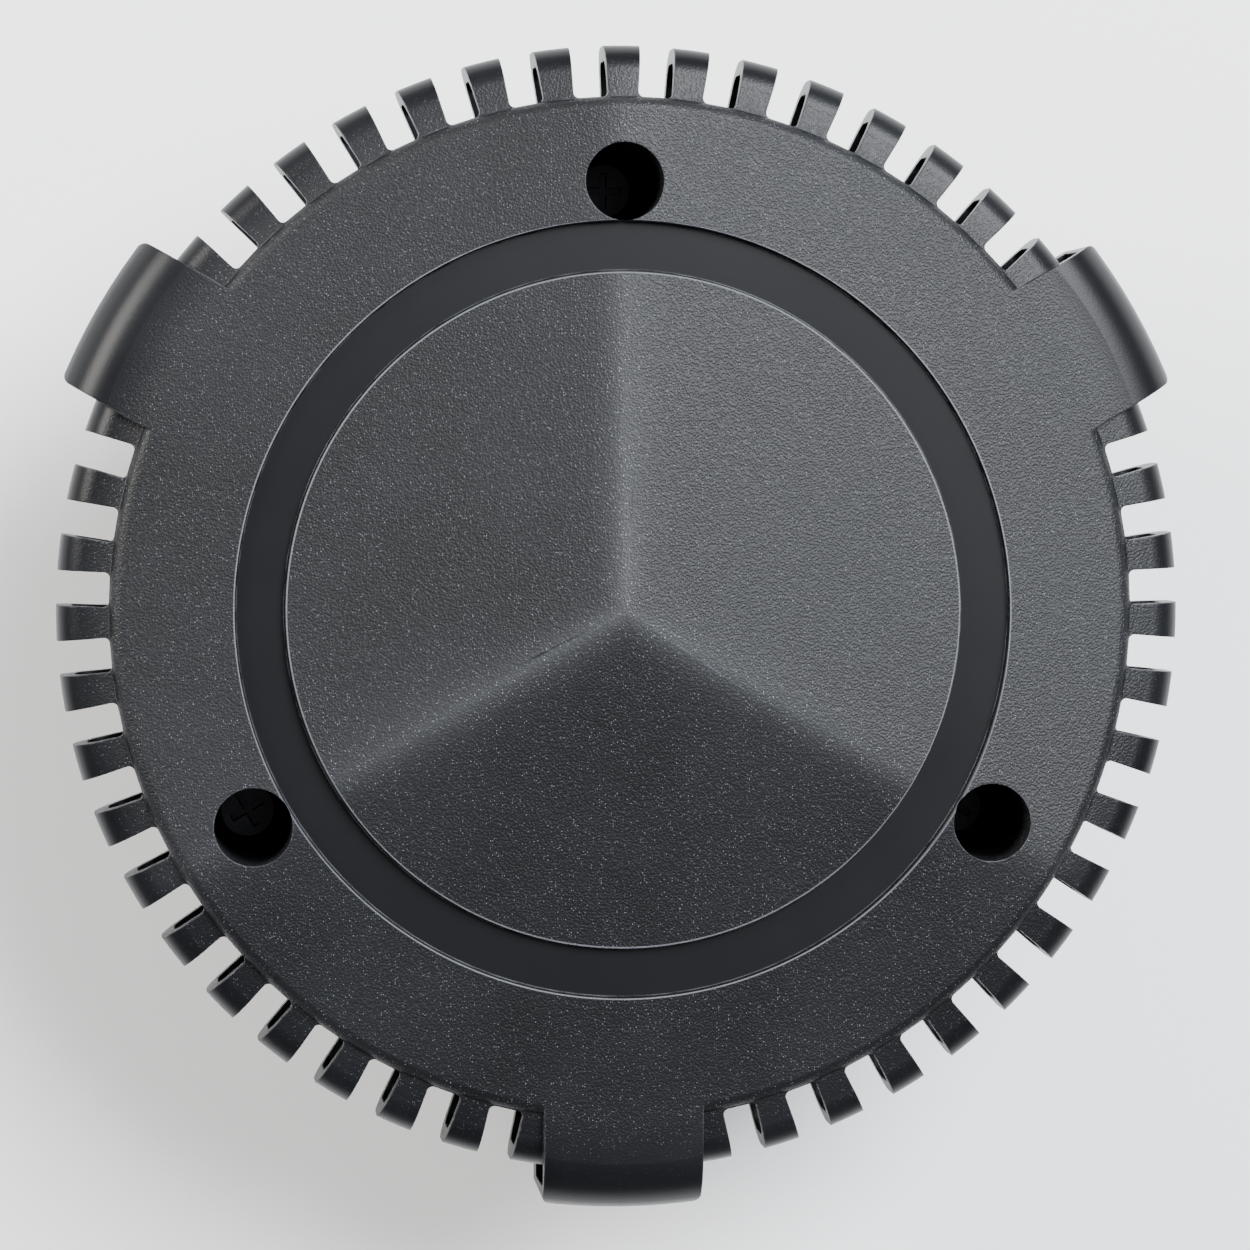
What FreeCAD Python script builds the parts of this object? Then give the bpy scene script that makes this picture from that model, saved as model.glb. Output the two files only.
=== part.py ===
import FreeCAD, Part
import math
import os
import Sketcher
from FreeCAD import Placement, Rotation, Vector

# Wave maker pump, in millimetres. The pump stands on its outlet guard: Z is the pump's axis, the
# origin is the middle of the guard's resting face, and the closed rear cover is on top. Water is drawn
# in between the cover's rim fingers, turns down into the duct, passes the propeller and the guide
# vanes, and leaves through the guard.

doc = FreeCAD.newDocument("WaveMakerPump")
sheet = doc.addObject("Spreadsheet::Sheet", "Sizes")

driving_sizes = {
    # rear cover: a disc of three shallow facets, with fingers and lugs round its rim
    "apex_height": 60.0,
    "facet_slope": 2.0,
    "roof_reach": 80.0,
    "ridge_corner": 11.0,
    "apex_flat": 0.4,
    "cover_underside": 55.6,
    "rim_radius": 54.4,
    "shoulder_radius": 1.3,
    "tip_radius": 60.0,
    "finger_thickness": 1.6,
    "finger_bend": 3.2,
    "finger_top": 57.5,
    "parting_height": 52.0,
    "slot_width": 3.7,
    "slot_corner": 0.6,
    "finger_pitch": 7.2,
    "slots_per_sector": 14,
    "band_inner": 35.8,
    "band_outer": 41.35,
    "band_floor": 57.7,
    "band_draft": 0.25,
    "lug_width": 17.0,
    "lug_end": 64.3,
    "lug_bottom": 43.4,
    "lug_thickness": 2.5,
    "lug_bend": 6.0,
    "bend_lead": 0.02,
    "lug_corner": 1.0,
    "hook_reach": 1.6,
    "hook_height": 2.4,
    "well_circle": 45.4,
    "well_radius": 4.15,
    "well_wall": 1.5,
    "well_floor": 30.0,
    "seat_thickness": 2.0,
    "boss_radius": 7.0,
    "boss_bottom": 45.5,
    "rib_width": 1.6,
    "rib_depth": 3.0,
    # front housing: a bowl with the duct in its middle
    "bowl_radius": 54.0,
    "bowl_wall": 2.4,
    "bowl_floor": 28.0,
    "bowl_corner": 5.0,
    "finger_bottom": 46.2,
    "catch_width": 13.0,
    "duct_seat": 36.0,
    "duct_throat": 34.6,
    "duct_outer": 38.4,
    "duct_step": 24.0,
    "duct_bottom": 2.2,
    "duct_top": 40.0,
    "screw_boss_radius": 4.6,
    "screw_boss_bottom": 14.0,
    "groove_depth": 1.4,
    "groove_bottom": 4.0,
    "groove_top": 7.0,
    # diffuser: motor hub and guide vanes
    "hub_radius": 21.0,
    "hub_inner": 19.0,
    "hub_top": 28.2,
    "hub_bottom": 3.4,
    "hub_floor": 5.6,
    "vane_bottom": 9.0,
    "vane_thickness": 1.8,
    "vane_count": 7,
    "lead_height": 17.0,
    "lead_radius": 1.8,
    # outlet guard
    "guard_face": 2.0,
    "guard_top": 9.0,
    "guard_wall": 2.5,
    "guard_play": 0.1,
    "guard_bar": 1.6,
    "guard_centre": 14.0,
    "guard_turn": 18.0,
    # screws: case screws in the wells, and countersunk screws through the wet well's flange
    "case_head": 3.3,
    "case_head_height": 2.2,
    "case_shank": 1.75,
    "case_length": 12.5,
    "case_drive": 2.0,
    "flange_head": 2.45,
    "flange_head_height": 1.4,
    "flange_shank": 1.15,
    "flange_length": 4.0,
    "flange_drive": 1.3,
    # wet well, stator and rotor
    "well_inner": 9.4,
    "well_skin": 1.0,
    "well_bottom": 8.0,
    "well_flange": 2.0,
    "flange_screw_circle": 16.6,
    "seal_circle": 20.0,
    "seal_section": 1.1,
    "core_bottom": 11.0,
    "core_top": 21.0,
    "tooth_width": 4.5,
    "tooth_tip": 10.7,
    "yoke_inner": 15.5,
    "coil_inner": 12.3,
    "coil_outer": 14.3,
    "coil_width": 10.4,
    "bobbin_wall": 0.4,
    "shaft_radius": 1.5,
    "shaft_bottom": 9.8,
    "shaft_top": 51.0,
    "bush_play": 0.05,
    "bush_outer": 2.6,
    "sleeve_outer": 4.4,
    "magnet_outer": 8.7,
    "magnet_bottom": 14.8,
    "magnet_top": 28.0,
    "rotor_top": 42.0,
    "bush_length": 6.0,
    "washer_outer": 3.6,
    "washer_thickness": 0.6,
    "front_cup_radius": 4.6,
    "rear_cup_radius": 4.5,
    "rear_cup_depth": 6.4,
    "cap_radius": 6.2,
    "cap_height": 2.2,
    # propeller
    "blade_tip": 33.6,
    "blade_count": 4,
    "prop_hub": 20.0,
    "prop_bottom": 31.0,
    "prop_foot": 2.0,
    "blade_root": 11.0,
    "blade_root_pitch": 62.0,
    "blade_tip_pitch": 28.0,
    "blade_root_half": 0.95,
    "blade_tip_half": 0.6,
    "blade_chord": 15.0,
    "blade_chord_gain": 7.0,
    "blade_sweep": 7.0,
    "blade_rise": 4.6,
    "blade_flattening": 0.62,
    # cable gland
    "gland_stub": 6.0,
    "gland_flange": 7.4,
    "gland_bore": 2.6,
    "gland_face": 41.5,
    "gland_seat": 0.8,
    "gland_neck": 7.2,
    "grommet_outer": 4.2,
    "gland_mouth": 3.2,
}

for row, (alias, number) in enumerate(driving_sizes.items(), start=1):
    sheet.set("A%d" % row, alias)
    sheet.set("B%d" % row, str(number))
    sheet.setAlias("B%d" % row, alias)
doc.recompute()


class Size:
    """A length or angle: the sheet expression that drives it, and its present number."""

    def __init__(self, text, number):
        self.text = text
        self.number = float(number)

    def joined(self, sign, other, number):
        other_text = other.text if isinstance(other, Size) else repr(float(other))
        return Size("(%s %s %s)" % (self.text, sign, other_text), number)

    def __add__(self, other):
        return self.joined("+", other, self.number + float(other))

    def __sub__(self, other):
        return self.joined("-", other, self.number - float(other))

    def __mul__(self, other):
        return self.joined("*", other, self.number * float(other))

    def __truediv__(self, other):
        return self.joined("/", other, self.number / float(other))

    def __float__(self):
        return self.number


class Sizes:
    """Every driving size of the sheet, by its alias."""


d = Sizes()
for alias, number in driving_sizes.items():
    setattr(d, alias, Size("Sizes." + alias, number))
zero = Size("0", 0)


def exact(number):
    """A detail size that drives nothing else."""
    return Size(repr(float(number)), number)


def bind(thing, prop, size):
    """Drives one property of an object from the sheet."""
    thing.setExpression(prop, size.text)


# ---------------------------------------------------------------- helpers for PartDesign bodies

WELL_ANGLES = (90, 210, 330)
LUG_ANGLES = (30, 150, 270)


def new_body(label):
    body = doc.addObject("PartDesign::Body", label)
    body.Label = label
    return body


def origin_part(body, role):
    return next(item for item in body.Origin.OriginFeatures if item.Role == role)


def new_sketch(body, name, plane, lift=zero, turn=0.0, tilt=0.0):
    """A sketch on an origin plane: lifted off it, turned about Z, or tilted out of the level."""
    sketch = body.newObject("Sketcher::SketchObject", body.Name + name)
    sketch.AttachmentSupport = [(origin_part(body, plane), "")]
    sketch.MapMode = "FlatFace"
    if plane == "XY_Plane":
        spin = Rotation(Vector(0, 0, 1), turn).multiply(Rotation(Vector(0, 1, 0), tilt))
    else:
        spin = Rotation(Vector(0, 1, 0), turn)
    sketch.AttachmentOffset = Placement(Vector(0, 0, float(lift)), spin)
    if float(lift):
        bind(sketch, "AttachmentOffset.Base.z", lift)
    return sketch


def hold(sketch, kind, places, size):
    """One driving dimension of a sketch."""
    index = sketch.addConstraint(Sketcher.Constraint(kind, *places, float(size)))
    bind(sketch, "Constraints[%d]" % index, size)


def outline(sketch, points, arcs=None):
    """A closed outline through the points; arcs maps an edge's number to (radius, turn direction)."""
    arcs = arcs or {}
    count = len(points)
    plain = [Vector(float(x), float(y), 0) for x, y in points]
    for index, start in enumerate(plain):
        end = plain[(index + 1) % count]
        if index in arcs:
            radius, sense = float(arcs[index][0]), arcs[index][1]
            half = end.sub(start).multiply(0.5)
            height = math.sqrt(max(radius ** 2 - half.Length ** 2, 0.0))
            side = Vector(-half.y, half.x, 0).normalize().multiply(height * sense)
            centre = start.add(half).add(side)
            first = math.atan2(start.y - centre.y, start.x - centre.x)
            last = math.atan2(end.y - centre.y, end.x - centre.x)
            if sense < 0:
                first, last = last, first
            circle = Part.Circle(centre, Vector(0, 0, 1), radius)
            sketch.addGeometry(Part.ArcOfCircle(circle, first, last), False)
        else:
            sketch.addGeometry(Part.LineSegment(start, end), False)
    for index in range(count):
        following = (index + 1) % count
        last_end = 1 if arcs.get(index, (0, 1))[1] < 0 else 2
        next_start = 2 if arcs.get(following, (0, 1))[1] < 0 else 1
        sketch.addConstraint(Sketcher.Constraint("Coincident", index, last_end, following, next_start))
    for index, (x, y) in enumerate(points):
        corner = 2 if arcs.get(index, (0, 1))[1] < 0 else 1
        if float(x) == 0:
            sketch.addConstraint(Sketcher.Constraint("PointOnObject", index, corner, -2))
        else:
            hold(sketch, "DistanceX", (-1, 1, index, corner), x)
        if float(y) == 0:
            sketch.addConstraint(Sketcher.Constraint("PointOnObject", index, corner, -1))
        else:
            hold(sketch, "DistanceY", (-1, 1, index, corner), y)
    for index, (radius, sense) in arcs.items():
        hold(sketch, "Radius", (index,), radius)
    return sketch


def ring(sketch, radii, x=zero, y=zero):
    """Concentric circles about one centre."""
    for radius in radii:
        index = sketch.addGeometry(Part.Circle(Vector(float(x), float(y), 0), Vector(0, 0, 1),
                                               float(radius)), False)
        if float(x) == 0 and float(y) == 0:
            sketch.addConstraint(Sketcher.Constraint("Coincident", index, 3, -1, 1))
        else:
            if float(x) == 0:
                sketch.addConstraint(Sketcher.Constraint("PointOnObject", index, 3, -2))
            else:
                hold(sketch, "DistanceX", (-1, 1, index, 3), x)
            if float(y) == 0:
                sketch.addConstraint(Sketcher.Constraint("PointOnObject", index, 3, -1))
            else:
                hold(sketch, "DistanceY", (-1, 1, index, 3), y)
        hold(sketch, "Radius", (index,), radius)
    return sketch


def block(sketch, low_x, high_x, width):
    """A rectangle along the sketch's X axis, centred across it."""
    half = width / 2
    minus = Size("-" + half.text, -float(half))
    return outline(sketch, [(low_x, minus), (high_x, minus), (high_x, half), (low_x, half)])


def feature(body, kind, name, sketch):
    item = body.newObject("PartDesign::" + kind, body.Name + name)
    item.Profile = sketch
    sketch.Visibility = False
    return item


def pad(body, name, sketch, length, downward=False, centred=False):
    item = feature(body, "Pad", name, sketch)
    bind(item, "Length", length)
    item.Reversed = downward
    if centred:
        item.SideType = "Symmetric"
    return item


def pocket(body, name, sketch, length, upward=False, centred=False):
    item = feature(body, "Pocket", name, sketch)
    bind(item, "Length", length)
    item.Reversed = upward
    if centred:
        item.SideType = "Symmetric"
    return item


def revolve(body, name, sketch, cutting=False, angle=None):
    item = feature(body, "Groove" if cutting else "Revolution", name, sketch)
    item.ReferenceAxis = (sketch, ["V_Axis"])
    if angle:
        bind(item, "Angle", angle)
    return item


def pattern(body, name, originals, count, extent=360.0):
    """The features repeated about Z."""
    item = body.newObject("PartDesign::PolarPattern", body.Name + name)
    item.Originals = originals
    item.Axis = (origin_part(body, "Z_Axis"), [""])
    item.Angle = extent
    item.Occurrences = count
    body.Tip = item
    return item


def turned(label, points, arcs=None):
    """A body made by one revolution of a radial section about Z."""
    body = new_body(label)
    revolve(body, "Turn", outline(new_sketch(body, "Section", "XZ_Plane"), points, arcs))
    return body


def tube_body(label, inner, outer, bottom, height):
    body = new_body(label)
    radii = (outer,) if inner is None else (outer, inner)
    pad(body, "Tube", ring(new_sketch(body, "Ring", "XY_Plane", bottom), radii), height)
    return body


def round_edges(body, name, radius, wanted):
    """A fillet on the body's present edges that the test picks."""
    doc.recompute()
    base = body.Tip
    names = ["Edge%d" % number for number, edge in enumerate(base.Shape.Edges, start=1) if wanted(edge)]
    item = body.newObject("PartDesign::Fillet", body.Name + name)
    item.Base = (base, names)
    bind(item, "Radius", radius)
    return item


def middle(edge):
    return edge.valueAt((edge.FirstParameter + edge.LastParameter) / 2)


def radial(point):
    return math.hypot(point.x, point.y)


# ---------------------------------------------------------------- rear cover

def add_slots(body, bottom, height, root):
    """The parallel-sided gaps between the fingers, in three sectors centred on the wells."""
    count = int(float(d.slots_per_sector))
    half = d.slot_width / 2
    minus = Size("-" + half.text, -float(half))
    corner = d.slot_corner
    for angle in WELL_ANGLES:
        first = angle - (count - 1) / 2 * float(d.finger_pitch)
        sketch = new_sketch(body, "SlotPlan%d" % angle, "XY_Plane", bottom, turn=first)
        outline(sketch, [
            (root + corner, minus),
            (d.tip_radius + 3, minus),
            (d.tip_radius + 3, half),
            (root + corner, half),
            (root, half - corner),
            (root, minus + corner),
        ], {3: (corner, 1), 5: (corner, 1)})
        slot = pocket(body, "Slot%d" % angle, sketch, height, upward=True)
        pattern(body, "Slots%d" % angle, [slot], count, (count - 1) * float(d.finger_pitch))


def faceted_disc():
    """The cover's disc: three facets meet at its apex, and a narrow cone softens each ridge."""
    slope = math.tan(math.radians(float(d.facet_slope)))

    def rounded_triangle(reach):
        """A level section of the roof, whose sides are the given distance from the axis."""
        corner = float(d.ridge_corner) * reach / float(d.roof_reach)
        centre_reach = 2 * (reach - corner)
        level = float(d.apex_height) - reach * slope

        def place(angle, offset):
            across, along = math.radians(angle + offset), math.radians(angle)
            return Vector(centre_reach * math.cos(along) + corner * math.cos(across),
                          centre_reach * math.sin(along) + corner * math.sin(across), level)
        edges = []
        for angle in WELL_ANGLES:
            end = place(angle, 60)
            edges.append(Part.Arc(place(angle, -60), place(angle, 0), end).toShape())
            edges.append(Part.makeLine(end, place(angle + 120, -60)))
        return Part.Wire(edges)
    foot = rounded_triangle(float(d.roof_reach))
    roof = Part.makeLoft([rounded_triangle(float(d.apex_flat)), foot], True, True)
    block_below = Part.Face(foot).extrude(Vector(0, 0, -float(d.apex_height) / 10))
    underside = float(d.cover_underside)
    depth = float(d.apex_height) - underside
    disc = Part.makeCylinder(float(d.rim_radius), depth, Vector(0, 0, underside))
    disc = disc.common(roof.fuse(block_below))
    rim = [edge for edge in disc.Edges if middle(edge).z > float(d.finger_top)
           and abs(radial(middle(edge)) - float(d.rim_radius)) < 0.01 and edge.Length > 4]
    piece = doc.addObject("Part::Feature", "faceted_disc")
    piece.Shape = disc.makeFillet(float(d.shoulder_radius), rim)
    piece.Placement = Placement()
    return piece


def facet_height(reach):
    """The height of a facet on its middle line, at a distance from the axis."""
    slope = math.tan(math.radians(float(d.facet_slope)))
    text = "(%s - %s * tan(Sizes.facet_slope * 1 deg))" % (d.apex_height.text, reach.text)
    return Size(text, float(d.apex_height) - float(reach) * slope)


def build_rear_cover():
    body = new_body("rear_cover")
    body.BaseFeature = faceted_disc()
    doc.recompute()
    # a wide lug on the middle line of each facet, level with it, that bends down at its end
    half = d.lug_width / 2
    minus = Size("-" + half.text, -float(half))
    corner = d.lug_corner
    side_reach = exact(math.sqrt(float(d.lug_end) ** 2 - float(half - corner) ** 2))
    bend_start = d.lug_end - d.lug_bend
    bend_top = facet_height(bend_start) + d.bend_lead
    for angle in LUG_ANGLES:
        plan = new_sketch(body, "LugPlan%d" % angle, "XY_Plane", d.apex_height, turn=angle,
                          tilt=float(d.facet_slope))
        outline(plan, [
            (d.band_outer + 9, minus),
            (side_reach - corner, minus),
            (side_reach, minus + corner),
            (side_reach, half - corner),
            (side_reach - corner, half),
            (d.band_outer + 9, half),
        ], {1: (corner, 1), 2: (d.lug_end, 1), 3: (corner, 1)})
        pad(body, "Lug%d" % angle, plan, d.apex_height - d.lug_bottom - 1, downward=True)
        bend = new_sketch(body, "BendSection%d" % angle, "XZ_Plane", turn=angle - 10)
        outline(bend, [
            (bend_start, bend_top),
            (d.lug_end, bend_top - d.lug_bend),
            (d.lug_end + 3, bend_top - d.lug_bend),
            (d.lug_end + 3, bend_top + 2),
            (bend_start, bend_top + 2),
        ], {0: (d.lug_bend, -1)})
        revolve(body, "Bend%d" % angle, bend, cutting=True, angle=exact(20))

    inside = d.lug_end - d.lug_thickness
    catch = d.lug_bottom + d.hook_height
    for angle in LUG_ANGLES:
        section = new_sketch(body, "LugSection%d" % angle, "XZ_Plane", turn=angle)
        outline(section, [
            (d.band_outer + 8, d.cover_underside),
            (d.band_outer + 8, d.lug_bottom - 5),
            (inside - d.hook_reach + 1.4, d.lug_bottom - 5),
            (inside - d.hook_reach, catch - 0.9),
            (inside - d.hook_reach, catch),
            (inside, catch),
            (inside, d.cover_underside - 1.4),
            (inside - 1.4, d.cover_underside),
        ], {6: (exact(1.4), 1)})
        pocket(body, "LugHollow%d" % angle, section, d.lug_width + 3, centred=True)

    # the upper half of the finger grille: one ring that bends down at its rim, cut into fingers
    finger = new_sketch(body, "FingerSection", "XZ_Plane")
    inner_tip = d.tip_radius - d.finger_thickness
    outline(finger, [
        (d.rim_radius - 1.5, d.finger_top - d.finger_thickness - 0.3),
        (d.tip_radius - d.finger_bend, d.finger_top - d.finger_thickness - 0.5),
        (inner_tip, d.finger_top - d.finger_bend - 0.5),
        (inner_tip, d.parting_height + 0.02),
        (d.tip_radius, d.parting_height + 0.02),
        (d.tip_radius, d.finger_top - d.finger_bend - 0.5),
        (d.tip_radius - d.finger_bend, d.finger_top - 0.5),
        (d.rim_radius - 1.5, d.finger_top),
    ], {1: (d.finger_thickness, -1), 5: (d.finger_bend, 1)})
    revolve(body, "FingerRing", finger)
    add_slots(body, d.parting_height - 1, d.finger_top - d.parting_height + 1.05, d.rim_radius)

    # the smooth sunk band
    band = new_sketch(body, "BandSection", "XZ_Plane")
    outline(band, [
        (d.band_inner + d.band_draft, d.band_floor),
        (d.band_outer - d.band_draft, d.band_floor),
        (d.band_outer + d.band_draft, d.apex_height + 1),
        (d.band_inner - d.band_draft, d.apex_height + 1),
    ])
    revolve(body, "Band", band, cutting=True)

    # the three screw wells, as tubes that reach down to the housing's bosses
    bottom = d.well_floor - d.seat_thickness
    for angle in WELL_ANGLES:
        column = new_sketch(body, "ColumnPlan%d" % angle, "XY_Plane", bottom, turn=angle)
        ring(column, (d.well_radius + d.well_wall,), d.well_circle)
        pad(body, "Column%d" % angle, column, d.cover_underside - bottom + 0.5)
        well = new_sketch(body, "WellPlan%d" % angle, "XY_Plane", d.well_floor, turn=angle)
        ring(well, (d.well_radius,), d.well_circle)
        pocket(body, "Well%d" % angle, well, d.apex_height, upward=True)
        hole = new_sketch(body, "ScrewHolePlan%d" % angle, "XY_Plane", bottom - 1, turn=angle)
        ring(hole, (d.case_shank + 0.15,), d.well_circle)
        pocket(body, "ScrewHole%d" % angle, hole, d.seat_thickness + 2, upward=True)

    # the boss that holds the shaft's upper cup, and six ribs that stiffen the disc
    boss = new_sketch(body, "BossPlan", "XY_Plane", d.boss_bottom)
    pad(body, "Boss", ring(boss, (d.boss_radius,)), d.cover_underside - d.boss_bottom + 0.5)
    socket = new_sketch(body, "SocketPlan", "XY_Plane", d.boss_bottom)
    pocket(body, "Socket", ring(socket, (d.rear_cup_radius,)), d.rear_cup_depth, upward=True)
    rib = new_sketch(body, "RibPlan", "XY_Plane", d.cover_underside - d.rib_depth, turn=30)
    ribs = pad(body, "Rib", block(rib, d.boss_radius - 1, d.band_inner, d.rib_width), d.rib_depth + 0.3)
    pattern(body, "Ribs", [ribs], 6)
    return body


# ---------------------------------------------------------------- front housing

def build_front_housing():
    body = new_body("front_housing")
    inner_wall = d.bowl_radius - d.bowl_wall
    inner_tip = d.tip_radius - d.finger_thickness
    tip_low = d.finger_bottom + 1 + d.finger_bend
    section = new_sketch(body, "BowlSection", "XZ_Plane")
    outline(section, [
        (d.duct_seat, d.duct_bottom),
        (d.duct_outer, d.duct_bottom),
        (d.duct_outer, d.bowl_floor - d.bowl_wall),
        (d.bowl_radius - d.bowl_corner, d.bowl_floor - d.bowl_wall),
        (d.bowl_radius, d.bowl_floor - d.bowl_wall + d.bowl_corner),
        (d.bowl_radius, d.finger_bottom),
        (d.tip_radius - d.finger_bend, d.finger_bottom + 1),
        (d.tip_radius, tip_low),
        (d.tip_radius, d.parting_height),
        (inner_tip, d.parting_height),
        (inner_tip, tip_low),
        (d.tip_radius - d.finger_bend, tip_low - d.finger_thickness),
        (inner_wall, d.finger_bottom + d.finger_thickness - 0.4),
        (inner_wall, d.bowl_floor + 0.5),
        (inner_wall - 0.5, d.bowl_floor),
        (d.duct_outer - 1.6, d.bowl_floor),
        (d.duct_outer - 1.6, d.duct_top - 2.4),
        (d.duct_outer - 0.4, d.duct_top - 0.8),
        (d.duct_outer - 0.4, d.duct_top),
        (d.duct_outer - 1.2, d.duct_top),
        (d.duct_throat, d.duct_top - 2.6),
        (d.duct_throat, d.duct_step),
        (d.duct_seat, d.duct_step),
    ], {
        3: (d.bowl_corner, 1),
        6: (d.finger_bend, 1),
        10: (d.finger_thickness, -1),
        13: (exact(0.5), -1),
        19: (exact(2.6), 1),
    })
    revolve(body, "Bowl", section)
    add_slots(body, d.finger_bottom - 2, d.parting_height - d.finger_bottom + 2.5, d.bowl_radius + 0.05)

    # a catch for each lug's hook
    for angle in LUG_ANGLES:
        plan = new_sketch(body, "CatchPlan%d" % angle, "XY_Plane", d.finger_bottom, turn=angle)
        block(plan, d.bowl_radius - 1, d.lug_end - d.lug_thickness - 0.6, d.catch_width)
        pad(body, "Catch%d" % angle, plan, d.parting_height - d.finger_bottom)

    # screw bosses under the floor, below the cover's columns
    for angle in WELL_ANGLES:
        plan = new_sketch(body, "BossPlan%d" % angle, "XY_Plane", d.screw_boss_bottom, turn=angle)
        ring(plan, (d.screw_boss_radius,), d.well_circle)
        pad(body, "Boss%d" % angle, plan, d.bowl_floor - d.screw_boss_bottom)
        hole = new_sketch(body, "HolePlan%d" % angle, "XY_Plane", d.screw_boss_bottom + 2, turn=angle)
        ring(hole, (d.case_shank,), d.well_circle)
        pocket(body, "Hole%d" % angle, hole, d.bowl_floor, upward=True)

    # the pad that the cable gland screws into, with its lead hole through the duct wall
    gland_pad = new_sketch(body, "GlandPadPlan", "XZ_Plane", d.duct_throat + 2)
    ring(gland_pad, (d.gland_flange,), zero, d.lead_height)
    pad(body, "GlandPad", gland_pad, d.gland_face - d.duct_throat - 2)
    lead = new_sketch(body, "LeadPlan", "XZ_Plane", exact(30))
    ring(lead, (d.gland_stub,), zero, d.lead_height)
    pocket(body, "LeadHole", lead, exact(30), upward=True)

    # three bayonet tracks in the duct's end: an entry slot, then a level run
    track = new_sketch(body, "TrackSection", "XZ_Plane", turn=-6)
    outline(track, [
        (d.duct_outer - d.groove_depth, d.groove_bottom),
        (d.duct_outer + 1, d.groove_bottom),
        (d.duct_outer + 1, d.groove_top),
        (d.duct_outer - d.groove_depth, d.groove_top),
    ])
    run = revolve(body, "Track", track, cutting=True, angle=d.guard_turn + 12)
    run.Reversed = False
    entry = new_sketch(body, "EntrySection", "XZ_Plane", turn=float(d.guard_turn) - 5.5)
    outline(entry, [
        (d.duct_outer - d.groove_depth + 0.1, d.duct_bottom - 1),
        (d.duct_outer + 2, d.duct_bottom - 1),
        (d.duct_outer + 2, d.groove_bottom + 0.5),
        (d.duct_outer - d.groove_depth + 0.1, d.groove_bottom + 0.5),
    ])
    mouth = revolve(body, "Entry", entry, cutting=True, angle=exact(11))
    pattern(body, "Tracks", [run, mouth], 3)
    return body


# ---------------------------------------------------------------- diffuser and outlet guard

def build_diffuser():
    nose = 6.0
    body = turned("diffuser", [
        (zero, d.hub_bottom),
        (d.hub_radius - nose, d.hub_bottom),
        (d.hub_radius, d.hub_bottom + nose),
        (d.hub_radius, d.hub_top),
        (d.hub_inner, d.hub_top),
        (d.hub_inner, d.hub_floor + nose - 1.8),
        (d.hub_inner - nose + 1.8, d.hub_floor),
        (zero, d.hub_floor),
    ], {1: (exact(nose), 1), 5: (exact(nose - 1.8), -1)})
    outer = new_sketch(body, "OuterPlan", "XY_Plane", d.guard_face + 0.3)
    ring(outer, (d.duct_seat, d.duct_throat))
    pad(body, "OuterRing", outer, d.duct_step - d.guard_face - 0.3)
    for number in range(int(float(d.vane_count))):
        angle = 270 + number * 360 / float(d.vane_count)
        plan = new_sketch(body, "VanePlan%d" % number, "XY_Plane", d.vane_bottom, turn=angle)
        width = exact(5.6) if number == 0 else d.vane_thickness
        block(plan, d.hub_radius - 1, d.duct_throat + 0.5, width)
        pad(body, "Vane%d" % number, plan, d.duct_step - d.vane_bottom)
    for angle in LUG_ANGLES:
        boss = new_sketch(body, "BossPlan%d" % angle, "XY_Plane", d.hub_top - 4.6, turn=angle)
        ring(boss, (exact(2.5),), d.flange_screw_circle)
        pad(body, "Boss%d" % angle, boss, exact(4.6))
        hole = new_sketch(body, "HolePlan%d" % angle, "XY_Plane", d.hub_top - 4.4, turn=angle)
        ring(hole, (d.flange_shank,), d.flange_screw_circle)
        pocket(body, "Hole%d" % angle, hole, exact(5), upward=True)
    lead = new_sketch(body, "LeadPlan", "XZ_Plane", d.hub_inner - 2)
    ring(lead, (d.lead_radius,), zero, d.lead_height)
    pocket(body, "LeadHole", lead, exact(22), upward=True)
    return body


def build_outlet_guard():
    inner = d.duct_outer + d.guard_play
    outer = inner + d.guard_wall
    throat = d.duct_throat - 0.4
    body = turned("outlet_guard", [
        (throat, exact(0.8)),
        (throat + 0.8, zero),
        (outer - 1.0, zero),
        (outer, exact(1.0)),
        (outer, d.guard_top - 0.6),
        (outer - 0.6, d.guard_top),
        (inner, d.guard_top),
        (inner, d.guard_face),
        (throat, d.guard_face),
    ], {2: (exact(1.0), 1)})
    for number, radius in enumerate((18.5, 24.0, 29.5)):
        plan = new_sketch(body, "HoopPlan%d" % number, "XY_Plane")
        ring(plan, (exact(radius) + d.guard_bar / 2, exact(radius) - d.guard_bar / 2))
        pad(body, "Hoop%d" % number, plan, d.guard_face)
    centre = new_sketch(body, "CentrePlan", "XY_Plane")
    pad(body, "Centre", ring(centre, (d.guard_centre,)), d.guard_face + 0.8)
    spoke = new_sketch(body, "SpokePlan", "XY_Plane", turn=30)
    bar = pad(body, "Spoke", block(spoke, d.guard_centre - 1, d.duct_throat + 0.4, d.guard_bar),
              d.guard_face)
    pattern(body, "Spokes", [bar], 6)
    tab = new_sketch(body, "TabSection", "XZ_Plane", turn=-4)
    outline(tab, [
        (d.duct_outer - d.groove_depth + 0.25, d.groove_bottom + 0.25),
        (inner + 0.5, d.groove_bottom + 0.25),
        (inner + 0.5, d.groove_top - 0.25),
        (d.duct_outer - d.groove_depth + 0.25, d.groove_top - 0.25),
    ])
    tabs = revolve(body, "Tab", tab, angle=exact(8))
    pattern(body, "Tabs", [tabs], 3)
    grip = new_sketch(body, "GripPlan", "XY_Plane", d.guard_face)
    ring(grip, (exact(0.9),), outer + 0.45)
    grips = pocket(body, "Grip", grip, d.guard_top, upward=True)
    pattern(body, "Grips", [grips], 36)
    return body


# ---------------------------------------------------------------- wet well and stator

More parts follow.
